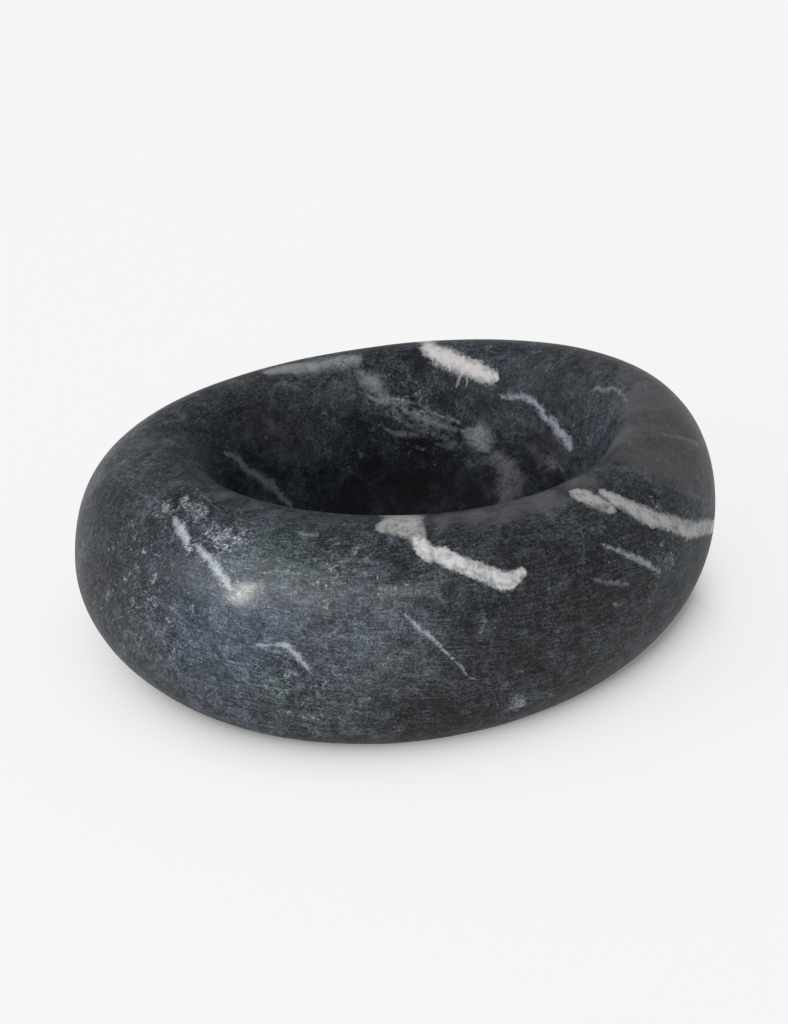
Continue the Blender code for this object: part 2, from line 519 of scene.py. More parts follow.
# For each vein: its tone, how strong it is, and its points (x, y, half width).
PHOTO_VEINS = {
    "front_white_top": (ASHEN_CALCITE, 1.0, [
        (388, 525, 8.5), (394, 524.5, 10), (402, 524.5, 11), (409, 526.5, 11), (414, 532, 9.5),
        (418, 539, 8), (421, 545, 7)]),
    "front_white": (BRIGHT_CALCITE, 1.0, [
        (417, 538, 5), (426, 549, 7.5), (431, 554, 8.5), (438, 554.5, 8.5), (447, 557.5, 8.5),
        (457, 563, 7.5), (468, 568, 7.5), (480, 571.5, 8.5), (491, 576, 8), (500, 580, 8.5),
        (507, 581.5, 9), (514, 578, 6.5), (519, 574.5, 5), (523, 571, 4)]),
    "right_white": (PALE_CALCITE, 1.0, [
        (603, 492, 3.5), (608, 495.5, 4.5), (616, 500, 5.5), (627, 506, 6.5), (640, 512, 7.5),
        (652, 518, 7.5), (667, 522.5, 7.5), (681, 527, 8.5), (693, 530, 8.5), (703, 528, 7),
        (712, 527, 5)]),
    "right_white_lobe": (DULL_CALCITE, 1.0, [
        (576, 493, 5), (584, 496, 6.5), (596, 501.5, 7), (605, 506, 6), (612, 509.5, 4)]),
    "right_blue": (BLUE_CALCITE, 0.9, [
        (602, 544, 1.5), (611, 548, 2.4), (626, 554, 2.6), (640, 560, 2.8), (650, 566, 2.6),
        (660, 573, 1.5)]),
    "right_faint": (BLUE_CALCITE, 0.4, [
        (590, 577, 1), (600, 581, 1.6), (609, 582, 2.2), (619, 584, 2), (629, 584, 1.2)]),
    "right_speck": (CALCITE, 0.7, [(614, 603, 1.8), (617, 606, 1.8)]),
    "right_hairline": (LILAC, 0.5, [
        (659, 433, 0.8), (672, 436, 1.0), (685, 439, 1.0), (696, 443, 1.2), (704, 448, 1.2)]),
    "back_white": (WARM_CALCITE, 1.0, [
        (430, 348.5, 8.5), (438, 353, 10), (450, 359.5, 10), (464, 366, 10), (478, 371.5, 9.5),
        (487, 375, 9), (492, 376.5, 7.5)]),
    "back_fan_left": (CALCITE, 0.6, [(462, 372, 1.6), (459, 380, 1.4), (456, 388, 0.8)]),
    "back_fan_right": (CALCITE, 0.5, [(467, 374, 1.4), (467, 382, 1.2), (466, 387, 0.7)]),
    "back_lilac": (LILAC, 0.95, [
        (501, 397, 2.2), (511, 397.5, 3), (522, 396.5, 3.2), (533, 401.5, 3.5), (540, 408.5, 3.5),
        (545, 417, 3.5), (554, 424, 3.5), (561, 434, 5), (569, 444, 4.5)]),
    "hollow_blob": (SMOKY_LILAC, 0.75, [
        (466, 432, 5), (471, 434, 9), (478, 437, 11), (482, 442, 10), (484, 448, 6)]),
    "hollow_cloud": (UMBER, 0.6, [
        (498, 454, 5), (504, 465, 8), (510, 476, 9), (507, 487, 8), (502, 498, 6)]),
    "hollow_cloud_branch": (UMBER, 0.5, [(515, 470, 4), (521, 481, 6), (520, 492, 5)]),
    "hollow_cloud_arm": (UMBER, 0.35, [(466, 459, 2.5), (474, 463, 3.5), (484, 462, 3), (491, 458, 3)]),
    "hollow_cloud_low": (UMBER, 0.25, [(480, 478, 2.5), (486, 488, 3.5), (488, 497, 3)]),
    "net_top": (BLUE_CALCITE, 0.65, [
        (368, 396, 1.5), (379, 401, 2), (388, 399, 1.5), (399, 399, 1.5), (408, 402, 1.6),
        (416, 404, 1.4)]),
    "net_middle": (SMOKE, 0.85, [
        (378, 404, 3), (388, 402, 4), (397, 405, 3), (406, 411, 3), (416, 415, 4), (426, 420, 6),
        (437, 424, 5), (448, 427, 3), (456, 431, 2)]),
    "net_streak": (LILAC, 0.5, [(385, 429, 1.5), (395, 433, 2.6), (408, 435, 2.8), (421, 436, 1.6)]),
    "net_loop": (SMOKE, 0.6, [
        (383, 414, 1.2), (394, 417, 1.6), (404, 422, 1.8), (414, 428, 1.6), (427, 433, 1.8),
        (441, 437, 2.2), (452, 443, 2), (461, 448, 1.5)]),
    "net_rise": (BLUE_CALCITE, 0.4, [
        (414, 402, 0.8), (424, 407, 1.2), (436, 415, 1.2), (447, 419, 1), (459, 423, 0.8)]),
    "net_spark": (CALCITE, 0.4, [(449, 418.5, 1), (456, 420, 1.2), (461, 423, 1.2)]),
    "net_low": (SMOKE, 0.45, [(436, 444, 1.5), (446, 446, 2), (455, 449, 2)]),
    "net_cross": (SMOKE, 0.5, [(400, 396, 1), (404, 400, 1.6), (410, 410, 2), (420, 416, 2)]),
    "back_cloud": (SMOKE, 0.7, [(361, 374, 4), (369, 381, 9), (378, 389, 7), (381, 397, 4)]),
    "back_band": (SMOKE, 0.95, [
        (270, 371, 4), (285, 368, 5), (300, 366, 6.5), (316, 364.5, 7.5), (332, 362, 8), (346, 360, 8),
        (355, 359, 6)]),
    "back_band_white": (GREY_CALCITE, 0.5, [
        (268, 371.5, 3), (278, 369.5, 4.5), (290, 367.5, 5), (304, 366, 5), (318, 364.5, 4)]),
    "left_hollow": (LILAC, 0.95, [
        (223, 451, 1.2), (236, 458, 2.2), (249, 470, 3.4), (263, 479, 4.2), (273, 488, 4), (283, 498, 3.2),
        (291, 506, 2)]),
    "left_front_top": (BLUE_CALCITE, 0.85, [
        (173, 517, 1.5), (178, 524, 4.2), (181, 531, 4.8), (186, 538, 3.6), (186, 545, 2.4),
        (190, 551, 1.2)]),
    "left_front": (BLUE_CALCITE, 0.85, [
        (195, 544, 1.4), (203, 552, 3.2), (211, 561, 4.2), (216, 569, 4.8), (223, 577, 4.4),
        (229, 587, 3)]),
    "left_spot": (LILAC, 0.3, [(164, 507, 2), (168, 511, 3), (171, 515, 2)]),
    "left_patch_high": (LILAC, 0.25, [(188, 506, 2), (196, 511, 3.5), (203, 517, 2)]),
    "left_patch": (LILAC, 0.25, [(212, 538, 2), (222, 537, 3.5), (234, 538, 3.5), (244, 541, 2)]),
    "left_hairline": (BLUE_CALCITE, 0.4, [
        (196, 488, 0.4), (207, 499, 0.5), (218, 509, 0.5), (228, 517, 0.4)]),
    "left_fibre": (CALCITE, 0.5, [(152, 585, 0.8), (155, 578, 1.2), (157, 571, 0.8)]),
    "front_hairline": (BLUE_CALCITE, 0.45, [(296, 532, 1.0), (305, 534, 1.6), (318, 536, 1.2)]),
    "low_left": (BLUE_LILAC, 1.0, [
        (257, 645, 1), (268, 646, 1.8), (279, 644, 2.2), (289, 648, 3.2), (297, 655, 3.4), (304, 664, 3),
        (311, 673, 1.4)]),
    "low_left_inner": (LILAC, 0.5, [(266, 650, 1.5), (273, 652, 2), (283, 651, 1.5)]),
    "centre_dots": (BLUE_CALCITE, 0.35, [(395, 586, 1.5), (396, 592, 1.6), (396, 600, 1)]),
    "centre": (BLUE_CALCITE, 0.8, [
        (403, 614, 0.8), (411, 620, 1.5), (421, 630, 2.4), (431, 637, 2.0), (440, 646, 1.2),
        (450, 656, 1.2), (459, 665, 1.1), (467, 675, 0.8)]),
    "centre_end": (CALCITE, 0.6, [(469, 677, 1), (474, 679, 1)]),
    "low_hatch": (LILAC, 0.5, [(510, 708, 1.5), (520, 706, 2.5), (529, 704, 1.2)]),
    "green_squiggle": (BLUE_CALCITE, 0.30, [
        (588, 392, 1), (597, 388, 1.8), (605, 391, 2.0), (613, 388, 1.6), (622, 394, 1.2),
        (628, 402, 0.8)]),
    "rim_scratch": (LILAC, 0.35, [(634, 385, 0.7), (642, 383, 0.8), (649, 381, 0.6)]),
    "right_streak": (LILAC, 0.22, [(671, 487, 1.2), (684, 492, 2.2), (697, 497, 2.0), (708, 502, 1.0)]),
    "front_streak_high": (BLUE_CALCITE, 0.35, [
        (262, 574, 0.8), (276, 571, 1.2), (292, 574, 0.9), (306, 571, 0.8)]),
    "front_streak_low": (BLUE_CALCITE, 0.3, [(270, 586, 0.7), (290, 588, 0.9), (310, 587, 0.7)]),
}
print("veins in the photograph:", len(PHOTO_VEINS))

# %% [markdown]
# ## From the picture on to the stone
#
# A drawn point is only a pixel until it lies on the stone. The line of sight through that pixel meets the
# stone in one place, which a search tree of the mesh's faces finds quickly. A smooth curve through the
# drawn points gives one every few pixels. Half a width is found in the same way, from two lines of sight
# beside the vein, because the stone is seen at a slant.

# %% From the picture on to the stone
STEP_PIXELS = 5
# A side that lands further away than this many plain half widths has slipped past an edge of the stone.
WIDEST_SLANT = 3


def through(points, step):
    """Points a step apart on a smooth curve through given ones. It uses a Catmull-Rom spline."""
    chosen = np.array(points, dtype=float)
    ends = np.vstack([2 * chosen[0] - chosen[1], chosen, 2 * chosen[-1] - chosen[-2]])
    curve = [chosen[0]]
    for before, start, end, after in zip(ends, ends[1:], ends[2:], ends[3:]):
        steps = max(1, round(np.hypot(*(end - start)[:2]) / step))
        for share in np.arange(1, steps + 1) / steps:
            curve.append(0.5 * (2 * start + (end - before) * share
                                + (2 * before - 5 * start + 4 * end - after) * share ** 2
                                + (3 * start - before - 3 * end + after) * share ** 3))
    return np.array(curve)


stone_tree = BVHTree.FromPolygons(
    [v.co for v in stone.data.vertices], [tuple(p.vertices) for p in stone.data.polygons])


def on_stone(eye, x, y):
    """The point of the stone that an eye sees at a pixel, or None."""
    return stone_tree.ray_cast(eye.place, eye.sight(x, y))[0]


def trace(eye, points):
    """The line of a vein on the stone: its points, and half its width at each, in metres.

    Only a width that is drawn in the photograph is measured on the stone.
    """
    places, halves = [], []
    curve = through(points, STEP_PIXELS)
    headings = np.gradient(curve[:, :2], axis=0)
    for (x, y, half), (dx, dy) in zip(curve, headings):
        place = on_stone(eye, x, y)
        if place is None:
            continue
        length = math.hypot(dx, dy)
        plain = half * EYE_DISTANCE / LENS_PIXELS
        sides = []
        if eye is photo_eye:
            sides = [on_stone(eye, x - s * dy / length * half, y + s * dx / length * half) for s in (-1, 1)]
        widths = [(side - place).length for side in sides if side is not None]
        places.append(place)
        halves.append(max(plain, min([w for w in widths if w < WIDEST_SLANT * plain], default=plain)))
    return np.array(places), np.array(halves)


print("faces in the search tree:", len(stone.data.polygons))

# %% [markdown]
# ## How far across a vein
#
# Each vertex near a vein stores how far across the vein it lies, half the vein's width there, its tone and
# its strength. Four numbers fit in one colour attribute. The shader roughens the distance with noise and
# cuts it sharply, which gives a crisp, ragged edge that is finer than the mesh. Two veins that cross can't
# share a vertex, so veins that come close to each other go into different sets.

# %% How far across a vein
# How far beyond its edge a vein is still felt, and the share of that in which its strength fades.
VEIN_REACH = 0.007
FADE_SHARE = 0.6
# How far round a vein its vertices are looked for, and the unit in which distances are stored.
VEIN_MARGIN = 0.02
MM_PER_METRE = 1000


def across_vein(places, halves, points, normals):
    """For each point: its signed place across the vein, half the vein's width there, and its distance."""
    starts, ends = places[:-1], places[1:]
    along = ends - starts
    lengths = np.linalg.norm(along, axis=1)
    along = along / lengths[:, None]
    offset = points[:, None, :] - starts[None, :, :]
    reach = np.clip(np.einsum("psi,si->ps", offset, along), 0, lengths)
    nearest = offset - reach[:, :, None] * along
    distance = np.linalg.norm(nearest, axis=2)
    best = np.argmin(distance, axis=1)
    rows = np.arange(len(points))
    heading, away = along[best], nearest[rows, best]
    share = reach[rows, best] / lengths[best]
    half = halves[best] * (1 - share) + halves[best + 1] * share
    side = np.cross(heading, normals)
    side /= np.linalg.norm(side, axis=1)[:, None]
    across = np.einsum("pi,pi->p", away, side)
    past_end = ((best == 0) & (share <= 0)) | ((best == len(along) - 1) & (share >= 1))
    full = np.where(past_end, np.abs(across), distance[rows, best])
    overshoot = np.sqrt(np.maximum(distance[rows, best] ** 2 - across ** 2, 0)) * past_end
    # Past its end a vein closes in a half circle.
    rounded = np.sqrt(np.maximum(half ** 2 - overshoot ** 2, 0))
    capped = np.where(overshoot < half, rounded, half - overshoot)
    return np.sign(across) * full, capped, distance[rows, best]


def vein_layers(traced, points, normals):
    """Packs the veins into few sets of vertex values, so that no two veins of a set come close."""
    layers = []
    for name, (tone, strength, places, halves) in traced.items():
        low, high = places.min(0) - VEIN_MARGIN, places.max(0) + VEIN_MARGIN
        near = np.flatnonzero(np.all((points > low) & (points < high), axis=1))
        across, half, distance = across_vein(places, halves, points[near], normals[near])
        felt = distance < np.maximum(half, 0) + VEIN_REACH
        near, across, half, distance = near[felt], across[felt], half[felt], distance[felt]
        fade = np.clip((half + VEIN_REACH - distance) / (VEIN_REACH * FADE_SHARE), 0, 1)
        values = np.stack([across, half, np.full(len(near), tone), fade * strength], -1)
        for layer, taken in layers:
            if not taken[near].any():
                break
        else:
            layer, taken = np.zeros((len(points), 4)), np.zeros(len(points), dtype=bool)
            layers.append((layer, taken))
        layer[near] = values
        taken[near] = True
    return [layer for layer, _ in layers]


def add_veins(piece, drawn):
    """Traces the drawn veins on to a piece and stores them. Returns the names of the stored sets."""
    traced = {}
    for name, (eye, tone, strength, points) in drawn.items():
        places, halves = trace(eye, points)
        if len(places) < 2:
            print("vein off the stone:", name)
            continue
        traced[name] = (tone, strength, places, halves)
    points = mesh_numbers(piece.data.vertices, "co", 3).astype(float)
    normals = mesh_numbers(piece.data.vertices, "normal", 3).astype(float)
    names = []
    for number, layer in enumerate(vein_layers(traced, points, normals), start=1):
        stored = piece.data.attributes.new(f"veins_{number}", "FLOAT_COLOR", "POINT")
        layer[:, :2] *= MM_PER_METRE
        stored.data.foreach_set("color", layer.astype(np.float32).ravel())
        names.append(stored.name)
    return names


# %% [markdown]
# ## Veins on the hidden sides
#
# A crack that fills with calcite cuts through the whole block, so a vein that leaves the photograph over an
# edge goes on behind it. More eyes look at the sides, the back and the top. Veins are drawn in their
# pictures in the same way: some go on from the front, and the rest are made up. The foot has none, because
# its mesh is too coarse for a fine edge.

# %% Veins on the hidden sides
right_eye, back_eye, left_eye, top_eye = Eye(98, 12), Eye(188, 20), Eye(-82, 12), Eye(8, 85)

HIDDEN_VEINS = {
    "right_white_on": (right_eye, CALCITE, 1.0, [
        (311, 525, 6), (322, 529, 7.5), (338, 535, 7.5), (360, 548, 7), (384, 557, 6), (408, 572, 5.5),
        (430, 590, 4), (446, 606, 2)]),
    "right_hairline_on": (right_eye, LILAC, 0.5, [
        (364, 456, 1.2), (390, 453, 1.2), (420, 458, 1.2), (458, 455, 0.8)]),
    "right_face_blue": (right_eye, BLUE_CALCITE, 0.75, [
        (468, 470, 1.5), (490, 482, 3), (512, 500, 4), (532, 512, 3.5), (560, 520, 1.5)]),
    "right_face_low": (right_eye, LILAC, 0.6, [
        (250, 590, 1.5), (268, 598, 2.5), (290, 601, 2.5), (310, 612, 1.2)]),
    "back_white_on": (back_eye, WARM_CALCITE, 1.0, [
        (355, 451, 8), (366, 462, 8.5), (380, 474, 8), (394, 486, 8.5), (408, 496, 8), (424, 510, 8.5),
        (442, 526, 7), (458, 541, 6), (470, 556, 4)]),
    "back_white_branch": (back_eye, CALCITE, 0.6, [
        (420, 494, 2), (440, 490, 2.2), (462, 494, 1.6), (480, 490, 0.8)]),
    "back_band_on": (back_eye, SMOKE, 0.7, [(541, 463, 5), (558, 480, 7), (578, 500, 7), (590, 522, 4)]),
    "back_long_blue": (back_eye, BLUE_CALCITE, 0.8, [
        (176, 498, 1.2), (206, 512, 2.2), (240, 530, 3.2), (272, 541, 3.6), (300, 560, 3.2),
        (330, 583, 2.4), (352, 604, 1.6), (380, 622, 0.8)]),
    "back_hook": (back_eye, CALCITE, 0.9, [
        (498, 590, 3), (514, 596, 6), (534, 600, 7), (556, 597, 6), (570, 590, 4), (576, 580, 2)]),
    "back_lilac_low": (back_eye, LILAC, 0.6, [
        (150, 540, 1.5), (168, 556, 3), (186, 566, 2.6), (200, 580, 1.2)]),
    "left_face_blue": (left_eye, BLUE_CALCITE, 0.85, [
        (250, 470, 1.6), (270, 486, 3.4), (292, 500, 4.4), (318, 512, 4.2), (342, 530, 4), (362, 552, 3),
        (380, 585, 1.2)]),
    "left_face_white": (left_eye, CALCITE, 0.9, [
        (196, 540, 3), (212, 552, 6), (230, 560, 7), (250, 574, 6.5), (266, 592, 4.5), (276, 606, 2)]),
    "front_white_inside": (top_eye, ASHEN_CALCITE, 0.9, [
        (407, 702, 15), (402, 690, 17), (397, 675, 15), (389, 657, 11), (381, 641, 8), (375, 628, 5)]),
    "hollow_floor_blue": (top_eye, BLUE_CALCITE, 0.5, [
        (330, 560, 1.5), (352, 544, 2.5), (380, 534, 3), (410, 516, 2.6), (436, 492, 1.4)]),
}

drawn_veins = {name: (photo_eye, *facts) for name, facts in PHOTO_VEINS.items()}
drawn_veins.update(HIDDEN_VEINS)
vein_sets = add_veins(stone, drawn_veins)
print("sets of vertex values:", vein_sets)

# %% [markdown]
# ## Clouds in the stone
#
# Between the veins the ground isn't even: there are pale, green, blue, neutral and near-black patches,
# wisps of smoke, places full of short white fibres, places where the sanding runs steeply, and a dusty rim.
# The pale and near-black patches are partly the stone's own and partly painted light and painted shade:
# pale on the lit front left and on the shaded left of the hollow, near-black in the hollow, on its back
# wall, low on the front and left of the glint. The dusty rim is partly dust and partly painted sheen where
# the rim is seen at a slant. These are soft, so each is only a middle and a radius in the photograph,
# stored on the vertices as a smooth bell. The shader breaks their outlines with noise.

# %% Clouds that the photograph shows
# For each kind: x, y, radius and strength.
PHOTO_CLOUDS = {
    # Pale: partly the stone's own, partly painted light on the lit front left and the hollow's shaded left.
    "pale": [
        (245, 610, 70, 0.6), (305, 600, 80, 0.7), (180, 640, 50, 0.3), (350, 640, 60, 0.5),
        (270, 690, 60, 0.5), (150, 470, 40, 0.7), (175, 435, 40, 0.35), (215, 540, 40, 0.4),
        (565, 385, 45, 0.6), (605, 392, 35, 0.5), (295, 545, 45, 0.65), (500, 523, 24, 0.4),
        (662, 560, 18, 0.8), (690, 495, 22, 0.4), (290, 440, 60, 0.9), (240, 385, 26, 0.6),
        (520, 352, 26, 0.5)],
    "green": [
        (285, 545, 40, 0.8), (335, 560, 35, 0.5), (595, 392, 28, 0.7), (660, 425, 40, 0.3),
        (275, 690, 45, 0.6), (680, 575, 35, 0.5), (405, 535, 14, 0.7), (210, 640, 30, 0.3)],
    # Dark: partly near-black stone, partly painted shade in the hollow, its back wall and the low front.
    "dark": [
        (410, 480, 60, 1.0), (470, 490, 45, 0.9), (350, 500, 30, 0.7), (540, 470, 30, 0.7),
        (470, 402, 30, 0.3), (520, 640, 80, 0.5), (565, 560, 50, 0.6), (622, 530, 26, 0.5),
        (446, 534, 20, 0.4), (645, 500, 22, 0.35), (400, 562, 24, 0.8), (262, 432, 40, 0.5),
        (421, 362, 13, 1.0), (172, 518, 10, 1.0), (155, 525, 14, 0.7), (225, 540, 18, 0.5),
        (180, 500, 8, 0.9), (197, 524, 8, 0.9), (208, 512, 7, 0.8), (190, 540, 8, 0.7), (216, 548, 9, 0.6),
        (330, 565, 20, 0.4), (500, 545, 40, 0.5), (540, 388, 45, 0.7), (95, 580, 50, 0.5),
        (166, 568, 36, 0.9), (192, 596, 24, 0.6), (325, 548, 26, 0.3), (548, 450, 20, 0.4),
        (105, 500, 40, 0.5), (120, 560, 40, 0.5), (440, 718, 55, 0.8), (548, 440, 26, 0.6),
        (600, 372, 26, 0.5), (478, 476, 12, 0.9)],
    "smoke": [
        (372, 383, 16, 1.0), (388, 399, 13, 0.9), (408, 412, 12, 0.6), (429, 421, 13, 1.0),
        (446, 427, 12, 0.7), (404, 434, 11, 0.7), (452, 446, 11, 0.6), (476, 437, 14, 1.0),
        (503, 462, 15, 1.0), (512, 476, 15, 1.0), (506, 494, 14, 0.9), (470, 461, 9, 0.4),
        (488, 456, 10, 0.6), (272, 371, 12, 0.8), (290, 368, 14, 1.0), (312, 365, 15, 1.0),
        (334, 362, 16, 1.0), (350, 360, 14, 1.0)],
    "fibrous": [
        (130, 522, 40, 0.18), (100, 600, 44, 0.18), (168, 508, 12, 1.0), (186, 505, 14, 1.0),
        (202, 514, 11, 1.0), (214, 536, 13, 1.0), (230, 536, 15, 1.0), (180, 528, 10, 0.8),
        (188, 546, 8, 0.8), (214, 564, 10, 0.7), (226, 580, 9, 0.7), (244, 540, 10, 0.9),
        (196, 545, 9, 0.7), (395, 590, 16, 0.4), (662, 560, 22, 0.7), (516, 705, 16, 0.9),
        (650, 500, 18, 0.5), (410, 410, 45, 0.5), (300, 690, 40, 0.4), (340, 560, 35, 0.4),
        (150, 600, 50, 0.4)],
    "steep": [
        (130, 560, 60, 0.9), (120, 640, 60, 0.8), (170, 480, 50, 0.8), (200, 690, 50, 0.5),
        (560, 385, 60, 0.9), (620, 410, 40, 0.6), (440, 390, 50, 0.8), (330, 420, 60, 0.7)],
    # Dust and sheen: partly dust, partly painted sheen where the rim is seen at a slant.
    "dusty": [
        (225, 495, 16, 0.7), (255, 506, 14, 0.7), (290, 516, 13, 0.7), (330, 522, 12, 0.7),
        (440, 520, 15, 0.9), (475, 516, 18, 0.9), (510, 511, 20, 1.0), (545, 501, 22, 1.0),
        (580, 482, 24, 0.9), (620, 440, 34, 1.0), (650, 400, 34, 0.9), (680, 440, 34, 0.8),
        (630, 375, 24, 0.7), (684, 474, 36, 0.8), (640, 457, 28, 0.8), (664, 466, 26, 0.7),
        (590, 360, 20, 0.6), (290, 440, 45, 0.5), (240, 425, 30, 0.4), (150, 440, 36, 0.6),
        (195, 452, 26, 0.5)],
    "neutral": [
        (600, 640, 90, 0.8), (430, 720, 80, 0.9), (520, 690, 60, 0.7), (640, 590, 50, 0.5),
        (540, 560, 60, 0.5), (240, 385, 45, 0.9), (300, 410, 60, 0.8), (150, 440, 40, 0.5)],
    "blue": [
        (170, 570, 40, 0.9), (195, 595, 40, 0.9), (235, 625, 50, 0.6), (275, 620, 60, 0.3),
        (190, 650, 40, 0.5)],
}

print("clouds in the photograph:", {kind: len(clouds) for kind, clouds in PHOTO_CLOUDS.items()})

# %% Clouds on the hidden sides
under_eye = Eye(8, -85)


def add_clouds(piece, drawn):
    """Stores each kind of cloud as a soft value on each vertex."""
    points = mesh_numbers(piece.data.vertices, "co", 3)
    for kind, clouds in drawn.items():
        values = np.zeros(len(points), dtype=np.float32)
        for eye, x, y, radius, strength in clouds:
            middle = on_stone(eye, x, y)
            if middle is None:
                print("cloud off the stone:", kind, x, y)
                continue
            size = radius * EYE_DISTANCE / LENS_PIXELS
            distance = np.linalg.norm(points - np.array(middle), axis=1)
            bell = strength * np.exp(-(distance / size) ** 2)
            values = 1 - (1 - values) * (1 - bell)
        stored = piece.data.attributes.new("cloud_" + kind, "FLOAT", "POINT")
        stored.data.foreach_set("value", values.astype(np.float32))


HIDDEN_CLOUDS = {
    "pale": [
        (right_eye, 420, 520, 70, 0.6), (right_eye, 540, 560, 50, 0.5), (back_eye, 250, 520, 80, 0.6),
        (back_eye, 480, 520, 60, 0.5), (back_eye, 600, 560, 60, 0.6), (left_eye, 300, 560, 70, 0.6),
        (left_eye, 210, 470, 50, 0.5), (top_eye, 330, 600, 60, 0.4), (under_eye, 400, 560, 80, 0.5)],
    "green": [
        (right_eye, 340, 590, 45, 0.6), (right_eye, 500, 450, 40, 0.5), (back_eye, 330, 560, 45, 0.6),
        (back_eye, 560, 600, 40, 0.5), (left_eye, 400, 470, 40, 0.6), (left_eye, 260, 610, 40, 0.5)],
    # Dark: partly painted shade, most of all the one in the hollow seen from the top.
    "dark": [
        (right_eye, 300, 560, 40, 0.6), (right_eye, 460, 600, 60, 0.7), (back_eye, 180, 580, 60, 0.7),
        (back_eye, 420, 560, 50, 0.6), (left_eye, 250, 530, 30, 0.6), (left_eye, 380, 620, 60, 0.6),
        (top_eye, 400, 500, 90, 0.7)],
    "smoke": [
        (right_eye, 470, 530, 14, 0.7), (right_eye, 488, 546, 12, 0.6), (back_eye, 300, 480, 16, 0.7),
        (back_eye, 320, 494, 14, 0.8), (left_eye, 300, 440, 16, 0.7), (left_eye, 320, 452, 12, 0.6)],
    "fibrous": [
        (right_eye, 400, 600, 30, 0.7), (right_eye, 520, 480, 26, 0.7), (back_eye, 280, 600, 30, 0.8),
        (back_eye, 500, 560, 26, 0.7), (left_eye, 300, 590, 30, 0.8), (left_eye, 240, 500, 24, 0.6)],
    "steep": [(right_eye, 420, 520, 90, 0.8), (back_eye, 160, 500, 70, 0.7), (left_eye, 400, 520, 90, 0.8)],
    # Dust and sheen: partly dust, partly painted sheen on the rim.
    "dusty": [
        (right_eye, 400, 420, 60, 0.8), (right_eye, 560, 430, 50, 0.6), (back_eye, 250, 430, 50, 0.6),
        (back_eye, 520, 450, 50, 0.7), (left_eye, 300, 420, 50, 0.6)],
    "neutral": [
        (right_eye, 420, 600, 70, 0.7), (back_eye, 300, 600, 80, 0.7), (left_eye, 260, 620, 60, 0.6)],
    "blue": [(right_eye, 340, 540, 50, 0.6), (back_eye, 560, 540, 60, 0.6), (left_eye, 330, 500, 50, 0.6)],
}

drawn_clouds = {}
for kind, clouds in PHOTO_CLOUDS.items():
    drawn_clouds[kind] = [(photo_eye, *facts) for facts in clouds] + HIDDEN_CLOUDS[kind]
add_clouds(stone, drawn_clouds)
print("clouds on all sides:", sum(len(clouds) for clouds in drawn_clouds.values()))

# %% [markdown]
# ## Helpers for patterns
#
# Every pattern in the stone starts from Blender's noise. Its Scale says how many features fit in a metre,
# so a helper takes the size of a feature instead, which can be measured on a real stone. A second helper
# stretches the noise into streaks on the direction map, and two more read what the vertices hold.

# %% Helpers for patterns
# Blender's noise stays near the middle of its range, so it is spread by this much.
NOISE_SPREAD = 4
STREAK_ROUGHNESS = 0.55


def noise(shade, where, size, detail=3.0, roughness=0.55, twist=0.0):
    """Noise with features of a size in metres, mostly between -1 and 1."""
    plain = shade.node(
        "ShaderNodeTexNoise",
        None,
        {"Vector": where, "Scale": 1 / size, "Detail": detail, "Roughness": roughness, "Distortion": twist},
    )
    return (plain - 0.5) * NOISE_SPREAD


def streaks(shade, along, degrees, length, width, detail=2.0, twist=0.0):
    """Noise drawn out to a length and a width, at an angle to the way round the bowl."""
    turn = (0, 0, math.radians(degrees))
    turned = shade.node("ShaderNodeMapping", None, {"Vector": along, "Rotation": turn})
    drawn = shade.node("ShaderNodeMapping", None, {"Vector": turned, "Scale": (1 / length, 1 / width, 1)})
    return noise(shade, drawn, 1.0, detail, STREAK_ROUGHNESS, twist)


def value_of(shade, name):
    """A number stored on the vertices."""
    return shade.node("ShaderNodeAttribute", {"attribute_name": name}, out="Fac")


def four_of(shade, name):
    """The four numbers of a colour stored on the vertices."""
    made = shade.node("ShaderNodeAttribute", {"attribute_name": name}, out="Color")
    parts = shade.node("ShaderNodeSeparateColor", None, {"Color": made})
    first_three = [Shade(shade.tree, output) for output in parts.socket.node.outputs]
    return first_three + [Shade(shade.tree, made.socket.node.outputs["Alpha"])]


# %% [markdown]
# ## The ground of the marble
#
# Honed dark marble is a tangle of tiny dark and pale crystals. Seen close, it's a fine grain with short
# fibres. Seen from a step away, it's a mottled blue-green grey. One noise can't be both, so the ground adds
# noises of several sizes, from broad clouds to single grains, and reads its colour from a ramp at their
# sum. Pale and dark clouds lift and lower that sum, partly as painted light and painted shade. The grain
# is drawn out a little along the stone, level on the front and steep at the ends, as the sanding has left
# it. Tints, thin threads, dust with painted sheen, and smoke are then laid over it, each where its clouds
# are.
# The weights in the sums were found by comparing renders with the photograph.

# %% The ground of the marble
GROUND_TONES = [
    (0.00, (0.0038, 0.0043, 0.0060, 1)),
    (0.25, (0.0140, 0.0162, 0.0208, 1)),
    (0.50, (0.0430, 0.0520, 0.0650, 1)),
    (0.75, (0.0940, 0.1160, 0.1410, 1)),
    (1.00, (0.2000, 0.2450, 0.2880, 1)),
]
PLAIN_TINT = (1.0, 1.0, 1.0, 1)
GREEN_TINT = (0.92, 1.07, 0.93, 1)
NEUTRAL_TINT = (1.09, 1.0, 0.90, 1)
BLUE_TINT = (0.84, 0.99, 1.16, 1)
# A flat grey for dust and for painted sheen on the rim.
DUST_AND_SHEEN = (0.140, 0.138, 0.141, 1)
FILAMENT = (0.170, 0.195, 0.225, 1)
SMOKE_COLOUR = (0.190, 0.212, 0.240, 1)
# The sizes of the patterns, in metres.
BROAD_SIZE, PATCH_SIZE, MOTTLE_SIZE, CRINKLE_SIZE, GRAIN_SIZE = 0.050, 0.013, 0.0040, 0.0022, 0.0010
THREAD_SIZE, WISP_SIZE = 0.021, 0.0065
# Grain drawn out by sanding: its slant in degrees, its length and its width.
LEVEL_GRAIN, STEEP_GRAIN = (3, 0.0060, 0.0010), (66, 0.0046, 0.0010)


